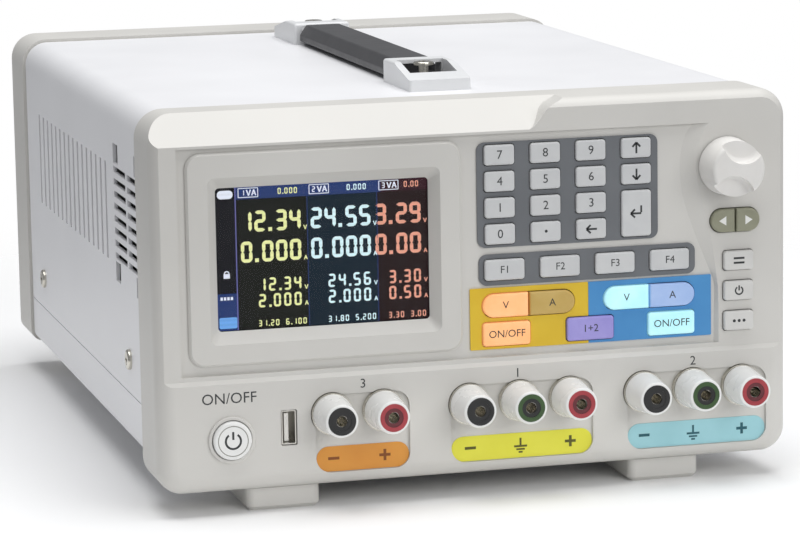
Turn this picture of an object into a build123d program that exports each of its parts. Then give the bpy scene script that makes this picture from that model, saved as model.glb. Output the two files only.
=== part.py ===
from build123d import *
from math import cos, radians, sin
import os

# Triple-output bench power supply, in millimetres. +Z is up and the front panel faces -Y.
# Widths on the front panel are measured from the bezel's left side, depths from the front of
# the terminal zone, heights from the surface that the feet stand on.

# Upper front panel, from left to right
side_margin = 13.0
screen_frame_width = 106.0
frame_to_keypad = 3.0
keypad_block_width = 97.0
knob_column_width = 31.0
body_width = side_margin + screen_frame_width + frame_to_keypad + keypad_block_width + knob_column_width

# Keypad block, from top to bottom
block_top_margin = 3.25
digit_zone_height = 40.3
zone_gap = 2.6
menu_zone_height = 12.0
channel_gap = 0.9
channel_zone_height = 23.7
block_bottom_margin = 3.0
keypad_stack = (block_top_margin + digit_zone_height + zone_gap + menu_zone_height
                + channel_gap + channel_zone_height + block_bottom_margin)

# Screen frame
screen_frame_height = 80.5
screen_frame_margin = 1.8
screen_frame_edge = 0.9
screen_frame_radius = 6.0
screen_mouth_width = 91.5
screen_mouth_height = 65.5
screen_mouth_radius = 3.0
screen_width = 82.0
screen_height = 54.2
screen_centre_below_frame = 0.7
window_lap = 2.0
window_thickness = 1.2

# Heights
foot_height = 17.0
bezel_bottom = 9.0
terminal_zone_height = 43.4
ledge_height = 1.6
plate_height = max(screen_frame_height + 2 * screen_frame_margin, keypad_stack)
brow_height = 12.0
z_ledge = bezel_bottom + terminal_zone_height
z_plate = z_ledge + ledge_height
z_plate_top = z_plate + plate_height
z_bezel_top = z_plate_top + brow_height

# Depths of the front panel's steps
upper_setback = 1.2
plate_recess = 2.8
plate_wall = 2.7
y_wall_back = plate_recess + plate_wall
overlay_thickness = 0.6
bezel_depth = 32.0
bezel_wall = 2.5
bezel_front_radius = 7.0
bezel_top_radius = 11.0
bezel_bottom_radius = 10.0
rim_width = 9.7
brow_slope_run = 15.0
brow_slope_end = 146.0
brow_curve_width = 16.0
brow_rise = 1.0
brow_sweep_drop = 3.0
brow_wall = 2.5

# Case behind the bezel
cover_inset = 2.5
cover_drop = 0.6
cover_wall = 1.5
cover_length = 268.0
cover_bottom_radius = 4.0
tray_seam_height = 19.0
seam_gap = 0.4
groove_width = 1.5
rear_frame_depth = 32.0
rear_frame_proud = 1.2
rear_frame_wall = 5.0
rear_frame_ledge = 9.0
rear_ledge_depth = 6.0
rear_frame_edge = 2.0
rear_web_thickness = 3.0
web_thickness = 2.5
panel_screw_lift = 8.0
panel_recess = 6.0
panel_thickness = 1.5
lip_length = 6.0
lip_thickness = 1.6
case_clearance = 0.2

# Side vents
front_vent_setback = 18.0
front_vent_rows = 8
front_vent_columns = 2
front_vent_slot = (25.0, 2.6)
front_vent_pitch = (28.0, 4.9)
front_vent_ear = (10.0, 8.0)
vent_ear_gap = 1.0
rear_vent_setback = 75.7
rear_vent_count = 16
rear_vent_slot = (3.4, 39.0)
rear_vent_pitch = 10.6
vent_top_drop = 19.0
rear_vent_drop = 28.4

# Keys
key_clearance = 0.35
key_travel = 1.0
key_proud = 1.8
key_skirt = 0.6
key_skirt_thickness = 1.0
key_edge = 0.7
key_radius = 1.2
plunger_radius = 2.0
digit_key = (11.9, 7.7)
digit_pitch = (18.15, 10.1)
digit_zone_inset = 3.3
digit_zone_width = 72.2
digit_inset = (12.1, 4.9)
menu_zone_inset = 3.7
menu_zone_width = 86.8
menu_key = (15.8, 8.0)
menu_pitch = 22.05
menu_inset = 13.75
channel_one_width = 47.2
channel_inset = 4.9
channel_two_inset = 7.1
channel_rise = 1.3
pill_drop = 2.35
channel_key = (18.8, 9.0)
channel_pill = (18.0, 9.0)
channel_zone_radius = 0.4
more_key_shift = 0.5
arrow_pill = (9.6, 9.0)
pill_gap = 0.6
side_key = (12.0, 7.5)
side_pitch = 11.8
board_gap = 0.3
zone_radius = 3.2
zone_seam = 0.1

# Knob column, from its axis
knob_axis_margin = 25.0
knob_axis_drop = 16.8
knob_radius = 11.3
knob_tip_radius = 10.5
knob_edge = 1.4
knob_reach = 14.0
knob_gap = 0.6
scoop_radius = 8.8
scoop_depth = 4.2
scoop_offset = 11.2
scoop_angle = -12.0
column_top_shift = 5.3
column_waist_gap = 7.0
column_knee_shift = 5.2
column_knee_drop = 24.0
column_heel_gap = 0.3
column_foot_gap = 1.2
column_slope = 6.0
column_key_shift = 3.2
side_key_shift = 4.5
shaft_radius = 3.0
shaft_clearance = 0.05
shaft_seat_depth = 10.0
encoder_radius = 6.0
arrow_drop = 21.3
side_key_drop = 37.0

# Display and boards
display_margin = 4.0
display_gap = 0.3
display_depth = 5.8
board_thickness = 1.6
board_margin = 9.0
board_tab_margin = 9.0
boss_radius = 3.0
boss_lift = 5.0
left_boss_inset = 1.0
middle_boss_inset = 4.0
keypad_boss_gap = 9.0
right_boss_inset = 7.0

# Terminal zone
power_centre = (27.9, 29.6)
power_ring_radius = 9.0
power_button_radius = 7.4
power_button_edge = 1.2
power_skirt = 1.0
power_ring_proud = 1.0
power_button_proud = 1.8
power_travel = 3.0
port_centre = (50.1, 32.7)
port_opening = (4.8, 12.2)
port_wall = 0.4
port_tongue = 1.6
port_setback = 0.8
terminal_height = 37.0
terminal_pitch = 20.0
socket_radius = 2.0
socket_depth = 15.0
stud_radius = 4.0
stud_recess = 0.6
stud_tail = 6.0
nut_radius = 6.4
nut_thickness = 3.0
collar_radius = 8.0
collar_height = 1.0
cap_clearance = 0.3
cap_base_radius = 7.6
cap_tip_radius = 6.3
cap_reach = 16.0
cap_edge = 0.8
pocket_depth = 1.2
pocket_radius = 6.0
pocket_bottom = 14.2
pocket_height = 30.0

# Terminal groups: the left one's first post, the right one's margin, the share of the free width
# that lies left of the middle group, and each pocket's left and right margins
low_group_start = 66.7
right_group_margin = 19.6
low_gap_share = 0.53
low_group_margins = (6.4, 10.4)
middle_group_margins = (7.2, 9.6)
right_group_margins = (6.4, 10.4)

# Handle on the top
handle_setback = 18.0
handle_cap = (25.0, 40.0)
handle_cap_lip = 4.5
handle_cap_ramp = 24.0
handle_cap_edge = 1.2
handle_cap_wall = 1.5
handle_floor = 1.2
handle_length = 232.0
grip_width = 21.0
grip_ridge = 15.0
grip_height = 8.8
grip_side_height = 3.0
grip_edge = 1.2
grip_gap = 2.0
tongue_width = 17.0
tongue_thickness = 2.0
tongue_length = 26.0
tongue_slot = (5.6, 15.0)
tongue_slot_end = 8.0
tongue_room = 2.0
handle_lift = 4.0
fit_gap = 0.3
handle_cap_height = handle_floor + tongue_thickness + handle_lift + 2 * fit_gap + handle_cap_wall
window_size = (19.0, 21.0)
window_setback = 9.5
screw_radius = 2.0
screw_head_radius = 4.0
screw_head_height = 1.6
screw_length = 7.0
screw_hole_clearance = 0.1

# Feet and fasteners
foot_width = 28.5
foot_length = 62.0
foot_spread = 152.0
foot_setback = 7.0
foot_edge = 1.5
foot_corner = 3.0
side_screw_setback = 34.0
side_screw_lift = 33.0
tab_length = 32.0
tab_height = 23.0
tab_thickness = 1.3
tab_foot = 6.0

# Inside the case
fan_size = 80.0
fan_depth = 25.0
fan_margin = 70.5
fan_lift = 70.0
fan_rim = 2.0
fan_corner = 4.0
fan_hub_radius = 15.0
fan_blade_gap = 1.5
fan_blade_root = 2.0
fan_blade_fill = 0.85
fan_blade_count = 7
fan_blade_thickness = 1.8
fan_blade_pitch = 38.0
fan_pin_radius = 1.5
fan_strut_width = 4.0
fan_strut_depth = 4.0
fan_hub_length = 16.0
fan_screw_inset = 4.3
grille_rings = 5
grille_edge = 1.5
grille_centre_radius = 4.7
grille_wire = 2.2
grille_spoke = 3.0
inlet_margin = 50.5
inlet_lift = 28.0
inlet_flange = (48.0, 30.0, 3.0)
inlet_body = (30.0, 23.0)
inlet_cavity = (24.0, 16.0, 17.0)
inlet_body_depth = 24.0
inlet_pin = (4.0, 2.0, 12.0)
inlet_pin_spread = 7.0
inlet_pin_rise = 2.0
transformer_core = (84.0, 48.0, 74.0)
transformer_coil = (58.0, 78.0, 46.0)
transformer_foot = 3.0
transformer_place = (-52.0, 176.0)
sink_size = (84.0, 76.0, 62.0)
sink_base = 6.0
sink_fins = 10
sink_fin_thickness = 2.0
sink_place = (52.0, 222.0)
main_board = (200.0, 92.0)
main_board_setback = 14.0
standoff_height = 7.0
standoff_radius = 3.5
standoff_inset = 6.0
can_radius = 12.5
can_height = 42.0
can_pitch = 32.0
can_count = 4
can_shift = -30.0
can_inset = 30.0
can_edge = 1.5
relay_size = (15.0, 28.0, 16.5)
relay_count = 3
relay_pitch = 20.0
relay_start = 45.0
relay_inset = 62.0

# Derived places
half_width = body_width / 2
z_tray = foot_height
z_seam = foot_height + tray_seam_height
z_cover_top = z_bezel_top - cover_drop
cover_width = body_width - 2 * cover_inset
y_cover_rear = bezel_depth + cover_length
y_frame = y_cover_rear + groove_width
y_rear = y_frame + rear_frame_depth
y_panel_back = y_rear - panel_recess
y_panel = y_panel_back - panel_thickness
y_display = y_wall_back + window_thickness + display_gap
y_board = y_display + display_depth
x_screen = side_margin + screen_frame_width / 2
z_screen_frame = z_plate_top - screen_frame_margin - screen_frame_height / 2
z_screen = z_screen_frame - screen_centre_below_frame
x_block = side_margin + screen_frame_width + frame_to_keypad
x_block_end = x_block + keypad_block_width
z_digit_zone = z_plate_top - block_top_margin
z_menu_zone = z_digit_zone - digit_zone_height - zone_gap
z_channel_zone = z_menu_zone - menu_zone_height - channel_gap
x_knob = body_width - knob_axis_margin
z_knob = z_plate_top - knob_axis_drop
y_plate_face = plate_recess - overlay_thickness
x_split = x_block + channel_one_width
z_output = z_channel_zone - channel_zone_height + channel_rise + channel_key[1] / 2
y_handle = bezel_depth + handle_setback
inlet_offset = inlet_margin - cover_width / 2
fan_offset = cover_width / 2 - fan_margin
fan_bore_radius = fan_size / 2 - fan_rim
fan_blade_radius = fan_bore_radius - fan_blade_gap
grille_gap = (fan_bore_radius - grille_edge - grille_centre_radius
              - (grille_rings - 1) * grille_wire) / grille_rings
to_origin = Pos(0, (cap_reach - y_rear) / 2, 0)

# Terminal groups: name, first post's place, marks of the posts, pocket's left and right margins
right_group_start = body_width - right_group_margin - 2 * terminal_pitch
free_width = right_group_start - low_group_start - 3 * terminal_pitch
middle_group_start = low_group_start + terminal_pitch + low_gap_share * free_width
terminal_groups = (("channel_3", low_group_start, ("minus", "plus"), low_group_margins),
                   ("channel_1", middle_group_start, ("minus", "ground", "plus"), middle_group_margins),
                   ("channel_2", right_group_start, ("minus", "ground", "plus"), right_group_margins))

os.makedirs("parts", exist_ok=True)
written = []


def save(name, shape):
    """Write one sub-part, moved so that the model's origin lies under its middle."""
    shape = to_origin * shape
    shape.label = name
    export_step(shape, f"parts/{name}.step")
    written.append(name)


def panel_x(x):
    """Turn a distance from the bezel's left side into X."""
    return x - half_width


def prism(face, y_front, y_back):
    """Extrude a face drawn in front view between two depths."""
    return extrude(Plane.XZ.offset(-y_back) * face, amount=y_back - y_front)


def plate(x, z, width, height, radius, y_front, y_back):
    """A rounded plate that lies parallel to the front panel, placed by panel distance."""
    return prism(Pos(panel_x(x), z) * RectangleRounded(width, height, radius), y_front, y_back)


def block(x0, x1, y0, y1, z0, z1):
    return Pos((x0 + x1) / 2, (y0 + y1) / 2, (z0 + z1) / 2) * Box(x1 - x0, y1 - y0, z1 - z0)


def rod(x, z, radius, y_front, y_back):
    """A round bar along Y."""
    return prism(Pos(x, z) * Circle(radius), y_front, y_back)


def side_prism(points, x0, x1):
    """Extrude a side-view outline of (y, z) points between two X values."""
    face = Plane.YZ.offset(x0) * make_face(Polyline(*points, close=True))
    return extrude(face, amount=x1 - x0)


def outline(width, z_bottom, z_top, bottom_radius, top_radius, inset=0.0):
    """A case's rounded section, drawn in front view and drawn in by an inset."""
    height = z_top - z_bottom - 2 * inset
    face = Pos(0, (z_top + z_bottom) / 2) * Rectangle(width - 2 * inset, height)
    face = fillet(face.vertices().group_by(Axis.Y)[-1], max(top_radius - inset, 1.0))
    return fillet(face.vertices().group_by(Axis.Y)[0], max(bottom_radius - inset, 1.0))


def bezel_outline(inset=0.0):
    return outline(body_width, bezel_bottom, z_bezel_top, bezel_bottom_radius, bezel_top_radius, inset)


def case_outline(inset=0.0):
    """Section of the cover and the tray together."""
    top_radius = bezel_top_radius - cover_inset / 2
    return outline(cover_width, z_tray, z_cover_top, cover_bottom_radius, top_radius, inset)


def frame_outline(inset=0.0):
    width = cover_width + 2 * rear_frame_proud
    bottom = z_tray - rear_frame_proud
    top = z_cover_top + rear_frame_proud
    return outline(width, bottom, top, cover_bottom_radius + rear_frame_proud, bezel_top_radius, inset)


def case_lip(y_front, y_back):
    """A ring that slides inside the cover and the tray."""
    inset = cover_wall + case_clearance
    return prism(case_outline(inset) - case_outline(inset + lip_thickness), y_front, y_back)


# Places of the keys: name, centre, size
def digit_places():
    names = [["key_7", "key_8", "key_9", "key_up"], ["key_4", "key_5", "key_6", "key_down"],
             ["key_1", "key_2", "key_3", None], ["key_0", "key_point", "key_clear", None]]
    places = []
    for row, row_names in enumerate(names):
        for column, name in enumerate(row_names):
            x = x_block + digit_inset[0] + column * digit_pitch[0]
            z = z_digit_zone - digit_inset[1] - row * digit_pitch[1]
            if name:
                places.append((name, x, z, *digit_key))
    tall = digit_key[1] + digit_pitch[1]
    x = x_block + digit_inset[0] + 3 * digit_pitch[0]
    z = z_digit_zone - digit_inset[1] - 2.5 * digit_pitch[1]
    places.append(("key_enter", x, z, digit_key[0], tall))
    return places


def menu_places():
    z = z_menu_zone - menu_zone_height / 2
    return [(f"menu_key_{n + 1}", x_block + menu_inset + n * menu_pitch, z, *menu_key) for n in range(4)]


def pill_places():
    """Each pair of half pills: its two names, the pair's middle, the half's size and the face."""
    reach = channel_pill[0] + pill_gap / 2
    x_one = x_block + channel_inset + reach
    x_two = x_block_end - channel_two_inset - reach
    z = z_channel_zone - pill_drop - channel_pill[1] / 2
    return [(("channel_1_volts_key", "channel_1_amps_key"), x_one, z, channel_pill, plate_recess),
            (("channel_2_volts_key", "channel_2_amps_key"), x_two, z, channel_pill, plate_recess),
            (("arrow_left_key", "arrow_right_key"), x_knob + column_key_shift, z_knob - arrow_drop,
             arrow_pill, upper_setback)]


def channel_places():
    x_one = x_block + channel_inset + channel_key[0] / 2
    x_two = x_block_end - channel_two_inset - channel_key[0] / 2
    return [("channel_1_output_key", x_one, z_output, *channel_key),
            ("more_key", x_split + more_key_shift, z_output, *channel_key),
            ("channel_2_output_key", x_two, z_output, *channel_key)]


def column_places():
    return [(f"side_key_{n + 1}", x_knob + side_key_shift, z_knob - side_key_drop - n * side_pitch, *side_key)
            for n in range(3)]


recessed_keys = digit_places() + menu_places() + channel_places()
raised_keys = column_places()


def terminal_places():
    """Name and panel distance of each binding post."""
    return [(f"post_cap_{name}_{mark}", first + n * terminal_pitch)
            for name, first, marks, _ in terminal_groups for n, mark in enumerate(marks)]


def key_hole(x, z, width, height):
    radius = key_radius + key_clearance
    return plate(x, z, width + 2 * key_clearance, height + 2 * key_clearance, radius, -1, y_wall_back + 1)


def pill_hole(x, z, size):
    width = 2 * size[0] + pill_gap + 2 * key_clearance
    height = size[1] + 2 * key_clearance
    return plate(x, z, width, height, height / 2 - 0.01, -1, y_wall_back + 1)


def make_key(x, z, width, height, y_face):
    """A key cap that stands proud of y_face, with a skirt behind the wall and a plunger."""
    cap = plate(x, z, width, height, key_radius, y_face - key_proud, y_wall_back + board_gap)
    front = cap.faces().sort_by(Axis.Y)[0]
    cap = fillet(front.edges(), key_edge)
    y_skirt = y_wall_back + board_gap
    skirt = plate(x, z, width + 2 * key_skirt, height + 2 * key_skirt, key_radius,
                  y_skirt, y_skirt + key_skirt_thickness)
    plunger = rod(panel_x(x), z, plunger_radius, y_skirt, y_board - key_travel - board_gap)
    return cap + skirt + plunger


def make_pill_half(x_middle, z, size, y_face, side):
    """Half of a pill-shaped pair of keys; side is -1 for the left half."""
    width, height = size
    x_centre = panel_x(x_middle) + side * (width + pill_gap) / 2
    half = Rectangle(width, height)
    ends = half.vertices().group_by(Axis.X)[0 if side < 0 else -1]
    half = Pos(x_centre, z) * fillet(ends, height / 2 - 0.02)
    y_skirt = y_wall_back + board_gap
    cap = prism(half, y_face - key_proud, y_skirt + key_skirt_thickness)
    cap = fillet(cap.faces().sort_by(Axis.Y)[0].edges(), key_edge)
    reach = height / 2 + key_clearance + key_skirt
    skirt = block(x_centre - width / 4, x_centre + width / 4, y_skirt, y_skirt + key_skirt_thickness,
                  z - reach, z + reach)
    plunger = rod(x_centre, z, plunger_radius, y_skirt, y_board - key_travel - board_gap)
    return cap + skirt + plunger


def column_edge(slope):
    """The knob column's swept left edge from the plate's top to its foot, moved right by a slope."""
    x_waist = panel_x(x_knob - knob_radius - column_waist_gap) + slope
    x_end = panel_x(x_block_end) + slope / 4
    return Spline((x_waist + column_top_shift, z_plate_top), (x_waist, z_knob),
                  (x_waist + column_knee_shift, z_knob - column_knee_drop),
                  (x_end + column_heel_gap, z_channel_zone), (x_end + column_foot_gap, z_plate),
                  tangents=[(-1, -1), (0, -1)])


def recessed_plate(slope):
    """Front-view face of the sunk part of the upper panel."""
    edge = column_edge(slope)
    x_left = panel_x(rim_width)
    rest = Polyline(edge @ 1, (x_left, z_plate), (x_left, z_plate_top), edge @ 0)
    return make_face(Curve() + [edge, rest])


def panel_sink():
    """The sunk part's cut: straight walls, and a long slope up to the knob column."""
    faces = [Plane.XZ.offset(-y) * recessed_plate(slope)
             for y, slope in ((upper_setback, column_slope), (plate_recess, 0))]
    return prism(recessed_plate(0), -1, plate_recess) + loft(faces, ruled=True)


def brow_cut():
    """Sloped brow over the screen, ended by an S-shaped sweep."""
    foot = z_plate_top + brow_rise
    top = z_bezel_top + brow_rise
    x_out = -half_width - brow_rise
    x_end = panel_x(brow_slope_end)
    sweep = Spline((x_end + brow_curve_width, top), (x_end + brow_curve_width / 2, z_bezel_top - brow_sweep_drop),
                   (x_end, foot), tangents=[(-1, -1), (-1, -0.4)])
    rest = Polyline(sweep @ 1, (x_out, foot), (x_out, top), sweep @ 0)
    region = prism(make_face(Curve() + [sweep, rest]), -brow_rise, bezel_depth)
    slope = (top - foot) / (z_bezel_top - foot)
    wedge = side_prism([(-brow_rise, foot), (upper_setback, foot),
                        (upper_setback + slope * brow_slope_run, top), (-brow_rise, top)], x_out, half_width)
    return region & wedge


def pocket(group):
    _, first, marks, (left, right) = group
    span = (len(marks) - 1) * terminal_pitch
    x = first + span / 2 + (right - left) / 2
    return plate(x, pocket_bottom + pocket_height / 2, span + left + right, pocket_height,
                 pocket_radius, -1, pocket_depth)


def board_bosses():
    """Places of the bosses that the control board is screwed to."""
    z_low = z_plate + boss_lift
    z_high = z_plate_top - boss_lift
    x_left = side_margin + left_boss_inset
    x_middle = side_margin + screen_frame_width - middle_boss_inset
    return [(x_left, z_low), (x_left, z_high), (x_middle, z_low), (x_middle, z_high),
            (x_block + digit_zone_width + keypad_boss_gap, z_high), (body_width - right_boss_inset, z_low)]


def front_bezel():
    body = prism(bezel_outline(), 0, bezel_depth)
    body = fillet(body.faces().sort_by(Axis.Y)[0].edges(), bezel_front_radius)
    brow_floor = block(-half_width, panel_x(brow_slope_end) + brow_curve_width + brow_wall, y_wall_back,
                       upper_setback + brow_slope_run + brow_wall, z_plate_top - brow_wall, z_bezel_top)
    body -= prism(bezel_outline(bezel_wall), y_wall_back, bezel_depth + 1) - brow_floor
    top = z_bezel_top + 5
    body -= side_prism([(-1, z_ledge - ledge_height), (0, z_ledge - ledge_height),
                        (upper_setback, z_ledge), (upper_setback, top), (-1, top)],
                       -half_width - 1, half_width + 1)
    body -= panel_sink()
    frame = plate(x_screen, z_screen_frame, screen_frame_width, screen_frame_height,
                  screen_frame_radius, upper_setback, plate_recess)
    body += chamfer(frame.faces().sort_by(Axis.Y)[0].edges(), screen_frame_edge)
    mouth = [Plane.XZ.offset(-y) * Pos(panel_x(x_screen), z_screen) * RectangleRounded(w, h, r)
             for y, w, h, r in ((0.0, screen_mouth_width, screen_mouth_height, screen_mouth_radius),
                                (y_wall_back + 0.01, screen_width, screen_height, screen_mouth_radius / 2))]
    body -= loft(mouth)
    body -= brow_cut()
    body -= [pocket(group) for group in terminal_groups]
    ring = rod(panel_x(power_centre[0]), power_centre[1], power_ring_radius, -power_ring_proud, 1)
    body += fillet(ring.faces().sort_by(Axis.Y)[0].edges(), power_ring_proud / 2)
    body += [rod(panel_x(x), z, boss_radius, y_wall_back - 0.5, y_board) for x, z in board_bosses()]
    cuts = [key_hole(x, z, w, h) for _, x, z, w, h in recessed_keys + raised_keys]
    cuts += [pill_hole(x, z, size) for _, x, z, size, _ in pill_places()]
    for _, x in terminal_places():
        cuts.append(rod(panel_x(x), terminal_height, stud_radius + cap_clearance, -1, y_wall_back + 1))
        cuts.append(rod(panel_x(x), terminal_height, collar_radius + case_clearance, -1, pocket_depth))
    cuts.append(rod(panel_x(x_knob), z_knob, shaft_radius + 2 * key_clearance, -1, y_wall_back + 1))
    cuts.append(rod(panel_x(power_centre[0]), power_centre[1], power_button_radius + key_clearance,
                    -power_ring_proud - 1, y_wall_back + 1))
    cuts.append(plate(*port_centre, port_opening[0] + 2 * (port_wall + key_clearance),
                      port_opening[1] + 2 * (port_wall + key_clearance), 0.6, -1, y_wall_back + 1))
    body -= cuts
    return body + bezel_lip()


def bezel_lip():
    """A web from the bezel's wall in to the ring that carries the cover's front edge."""
    web = prism(bezel_outline(bezel_wall / 2) - case_outline(cover_wall + case_clearance + lip_thickness),
                bezel_depth - web_thickness, bezel_depth)
    return web + case_lip(bezel_depth - web_thickness, bezel_depth + lip_length)


def keypad_overlay():
    """Four printed plates round the keys, seated on the sunk panel."""
    z_digit = z_digit_zone - digit_zone_height / 2
    z_menu = z_menu_zone - menu_zone_height / 2
    z_channel = z_channel_zone - channel_zone_height / 2
    x_digit = x_block + digit_zone_inset + digit_zone_width / 2
    x_menu = x_block + menu_zone_inset + menu_zone_width / 2
    zones = [(x_digit, z_digit, digit_zone_width, digit_zone_height, zone_radius),
             (x_menu, z_menu, menu_zone_width, menu_zone_height, zone_radius)]
    for x0, x1 in ((x_block, x_split), (x_split, x_block_end)):
        zones.append(((x0 + x1) / 2, z_channel, x1 - x0, channel_zone_height, channel_zone_radius))
    holes = [key_hole(*place[1:]) for place in recessed_keys]
    holes += [pill_hole(x, z, size) for _, x, z, size, _ in pill_places()[:2]]
    solids = []
    for x, z, width, height, radius in zones:
        sheet = plate(x, z, width - zone_seam, height, radius, y_plate_face, plate_recess) - holes
        solids += list(sheet.solids())
    return Compound(solids)


def display_window():
    return plate(x_screen, z_screen, screen_width + 2 * window_lap, screen_height + 2 * window_lap, 1.0,
                 y_wall_back, y_wall_back + window_thickness)


def display_module():
    width = screen_width + 2 * display_margin
    height = screen_height + 2 * display_margin
    panel = plate(x_screen, z_screen, width, height, 1.0, y_display, y_board)
    connector = plate(x_screen, z_screen - height / 2 - 1.5, width / 2, 3.2, 0.5, y_board - 2.5, y_board)
    return panel + connector


def top_cover():
    section = case_outline() - case_outline(cover_wall)
    below = z_seam + seam_gap
    section -= Pos(0, below / 2) * Rectangle(cover_width + 1, below)
    cover = prism(section, bezel_depth, y_cover_rear)
    slots = []
    span = cover_width + 4
    length, width = front_vent_slot
    ear_length, ear_height = front_vent_ear
    z_ear = z_cover_top - vent_top_drop - ear_height / 2
    z_first = z_ear - (ear_height + width) / 2 - vent_ear_gap
    z_last = z_first - (front_vent_rows - 1) * front_vent_pitch[1]
    y_first = bezel_depth + front_vent_setback
    y_last = y_first + (front_vent_columns - 1) * front_vent_pitch[0]
    for row in range(front_vent_rows):
        for column in range(front_vent_columns):
            y = y_first + column * front_vent_pitch[0]
            slots.append(Pos(0, y, z_first - row * front_vent_pitch[1]) * Box(span, length, width))
    ear_shift = (length - ear_length) / 2
    for y in (y_first - ear_shift, y_last + ear_shift):
        for z in (z_ear, z_last + z_first - z_ear):
            slots.append(Pos(0, y, z) * Box(span, ear_length, ear_height))
    width, length = rear_vent_slot
    for count in range(rear_vent_count):
        y = bezel_depth + rear_vent_setback + count * rear_vent_pitch
        slots.append(Pos(0, y, z_cover_top - rear_vent_drop - length / 2) * Box(span, width, length))
    for y, z in side_screws():
        slots.append(Pos(0, y, z) * Rot(0, 90, 0) * Cylinder(screw_radius + screw_hole_clearance, span))
    for y in handle_screws():
        slots.append(Pos(0, y, z_cover_top) * Cylinder(screw_radius + screw_hole_clearance, 10))
    return cover - slots


def side_screws():
    """Depth and height of the screws on each side."""
    z = z_tray + side_screw_lift
    return [(bezel_depth + side_screw_setback, z), (y_cover_rear - side_screw_setback, z)]


def base_tray():
    section = case_outline() - case_outline(cover_wall)
    height = z_bezel_top - z_seam
    section -= Pos(0, z_seam + height / 2) * Rectangle(cover_width + 1, height)
    tray = prism(section, bezel_depth, y_cover_rear)
    x_inner = cover_width / 2 - cover_wall
    for side in (-1, 1):
        for y, z in side_screws():
            x0 = x_inner - case_clearance - tab_thickness
            x1 = x_inner - case_clearance
            y0 = y - tab_length / 2
            y1 = y + tab_length / 2
            z0 = z_seam - tab_foot
            tab = block(x0, x1, y0, y1, z0, z_seam + tab_height)
            tab += block(x0, x_inner + cover_wall / 3, y0, y1, z0, z_seam - seam_gap)
            hole = Pos((x0 + x1) / 2, y, z) * Rot(0, 90, 0) * Cylinder(screw_radius + screw_hole_clearance, 6)
            tab -= hole
            tray += tab if side > 0 else mirror(tab, Plane.YZ)
    for x, y in standoff_places():
        tray += Pos(x, y, z_tray + (cover_wall + standoff_height) / 2) * Cylinder(
            standoff_radius, cover_wall + standoff_height)
    return tray


def standoff_places():
    width, length = main_board
    y0 = bezel_depth + lip_length + main_board_setback
    return [(sx * (width / 2 - standoff_inset), y0 + dy)
            for sx in (-1, 1) for dy in (standoff_inset, length - standoff_inset)]


def rear_frame():
    frame = prism(frame_outline() - frame_outline(rear_frame_wall), y_frame, y_rear)
    outer = frame.faces().sort_by(Axis.Y)[-1].outer_wire().edges()
    frame = fillet(outer, rear_frame_edge)
    inner_inset = rear_frame_wall + rear_frame_ledge
    ledge = prism(frame_outline(rear_frame_wall - 0.5) - frame_outline(inner_inset),
                  y_panel - rear_ledge_depth, y_panel)
    lip_inset = cover_wall + case_clearance
    y_web = y_frame + rear_web_thickness
    web = prism(frame_outline(rear_frame_wall / 2) - case_outline(lip_inset + lip_thickness), y_frame, y_web)
    frame = frame + ledge + web + case_lip(y_cover_rear - lip_length, y_web)
    return frame - [rod(x, z, screw_radius + screw_hole_clearance, y_panel - rear_ledge_depth - 1, y_panel)
                    for x, z in panel_screws()]


def panel_screws():
    """Corners of the rear panel, over the frame's ledge."""
    inset = rear_frame_wall + rear_frame_ledge / 2
    x = cover_width / 2 + rear_frame_proud - inset
    z_low = z_tray - rear_frame_proud + inset + panel_screw_lift
    z_high = z_cover_top + rear_frame_proud - bezel_top_radius - panel_screw_lift
    return [(sx * x, z) for sx in (-1, 1) for z in (z_low, z_high)]


def fan_screws():
    half = fan_size / 2 - fan_screw_inset
    return [(fan_offset + sx * half, z_tray + fan_lift + sz * half) for sx in (-1, 1) for sz in (-1, 1)]


def rear_panel():
    panel = prism(frame_outline(rear_frame_wall + fit_gap), y_panel, y_panel_back)
    z_fan = z_tray + fan_lift
    spokes = Rectangle(2 * fan_bore_radius, grille_spoke) + Rectangle(grille_spoke, 2 * fan_bore_radius)
    cuts = []
    for ring in range(grille_rings):
        outer = fan_bore_radius - grille_edge - ring * (grille_gap + grille_wire)
        gap = Circle(outer) - Circle(outer - grille_gap) - Rot(0, 0, 45) * spokes
        cuts.append(prism(Pos(fan_offset, z_fan) * gap, y_panel - 1, y_panel_back + 1))
    cuts.append(prism(Pos(inlet_offset, z_tray + inlet_lift)
                      * Rectangle(inlet_body[0] + fit_gap, inlet_body[1] + fit_gap),
                      y_panel - 1, y_panel_back + 1))
    cuts += [rod(x, z, screw_radius + screw_hole_clearance, y_panel - 1, y_panel_back + 1)
             for x, z in panel_screws() + fan_screws()]
    return panel - cuts


def mains_inlet():
    z = z_tray + inlet_lift
    flange_width, flange_height, flange_thickness = inlet_flange
    y_mouth = y_panel_back + flange_thickness
    flange = prism(Pos(inlet_offset, z) * RectangleRounded(flange_width, flange_height, 3),
                   y_panel_back, y_mouth)
    body = prism(Pos(inlet_offset, z) * Rectangle(*inlet_body), y_mouth - inlet_body_depth, y_mouth)
    cavity_width, cavity_height, cavity_depth = inlet_cavity
    mouth = RectangleRounded(cavity_width, cavity_height, 1.5)
    inlet = flange + body - prism(Pos(inlet_offset, z) * mouth, y_mouth - cavity_depth, y_mouth + 1)
    width, height, length = inlet_pin
    for dx, dz in ((-inlet_pin_spread, -inlet_pin_rise), (0, inlet_pin_rise),
                   (inlet_pin_spread, -inlet_pin_rise)):
        pin = Pos(inlet_offset + dx, z + dz) * Rectangle(height, width)
        inlet += prism(pin, y_mouth - cavity_depth - 1, y_mouth - cavity_depth + length)
    return inlet


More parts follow.
